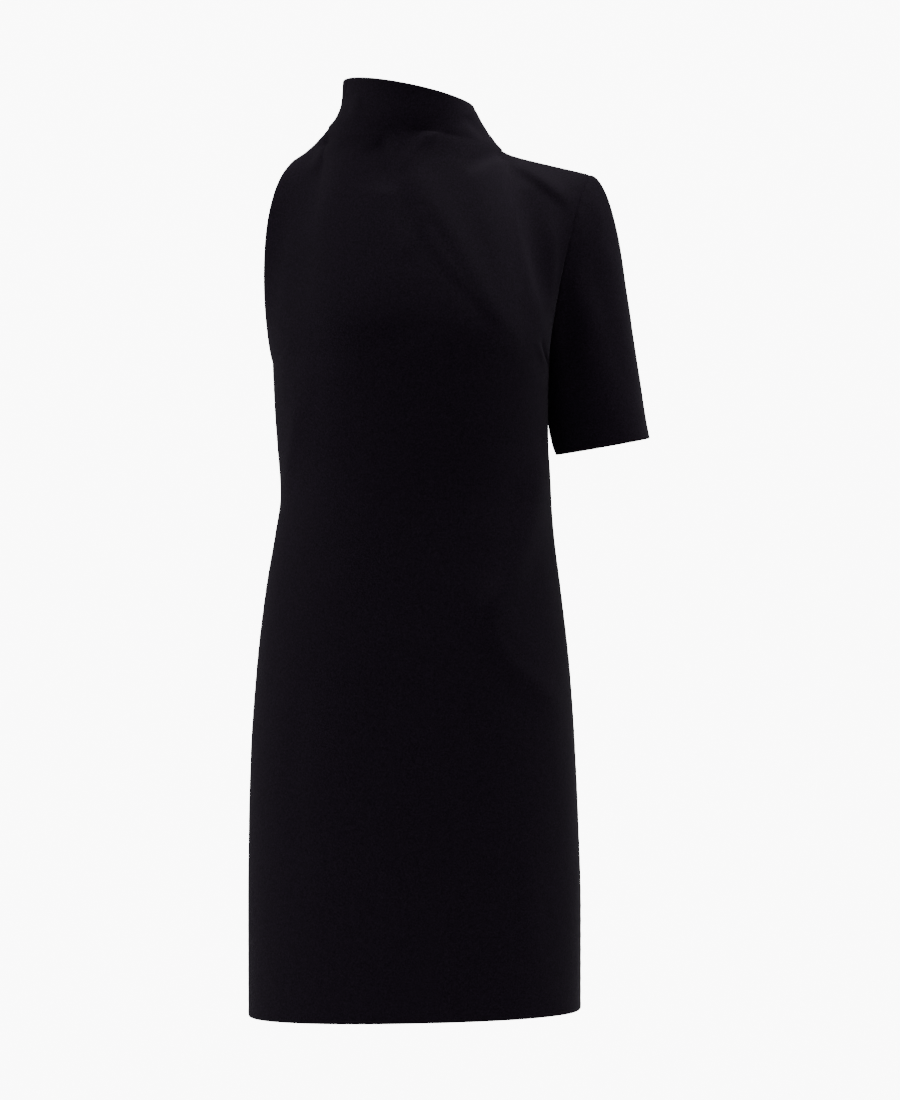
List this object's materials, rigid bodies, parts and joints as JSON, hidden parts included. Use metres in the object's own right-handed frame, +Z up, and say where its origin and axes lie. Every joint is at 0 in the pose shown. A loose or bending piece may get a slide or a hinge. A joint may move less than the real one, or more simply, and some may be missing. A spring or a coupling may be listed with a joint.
{
  "type": "dress with one short sleeve and a funnel neck",
  "caption": "Fitted short dress in black crepe with a funnel neck cut in one with its body, a cut-in armhole on one side, a short sleeve on the other and a concealed back zip.",
  "frame": {"origin": "middle of the body on the shoulder line at the base of the neck, where the wearer's neck and shoulders hold the dress up", "axes": "+Z up along the length of the dress, -Y out of its front, +X to the wearer's left, where the sleeve is"},
  "size_m": [0.4164, 0.2506, 0.9655],
  "materials": {
    "crepe": "black crepe with a fine dry grain and a very soft sheen",
    "zip_tape": "black woven zip tape",
    "zip_metal": "black lacquer, semi-gloss"
  },
  "bodies": {
    "dress": {"front": "crepe", "back_right": "crepe", "back_left": "crepe", "sleeve_left": "crepe", "zip_tape": "zip_tape", "zip_slider": "zip_metal"},
    "zip_pull": {"zip_pull": "zip_metal"}
  },
  "joints": [
    {"name": "pull_swing", "type": "hinge", "parent": "dress", "child": "zip_pull", "pos_m": [-0.01003, 0.05201, 0.05575], "axis": [1, 0, 0], "range_deg": [0, 150]}
  ]
}
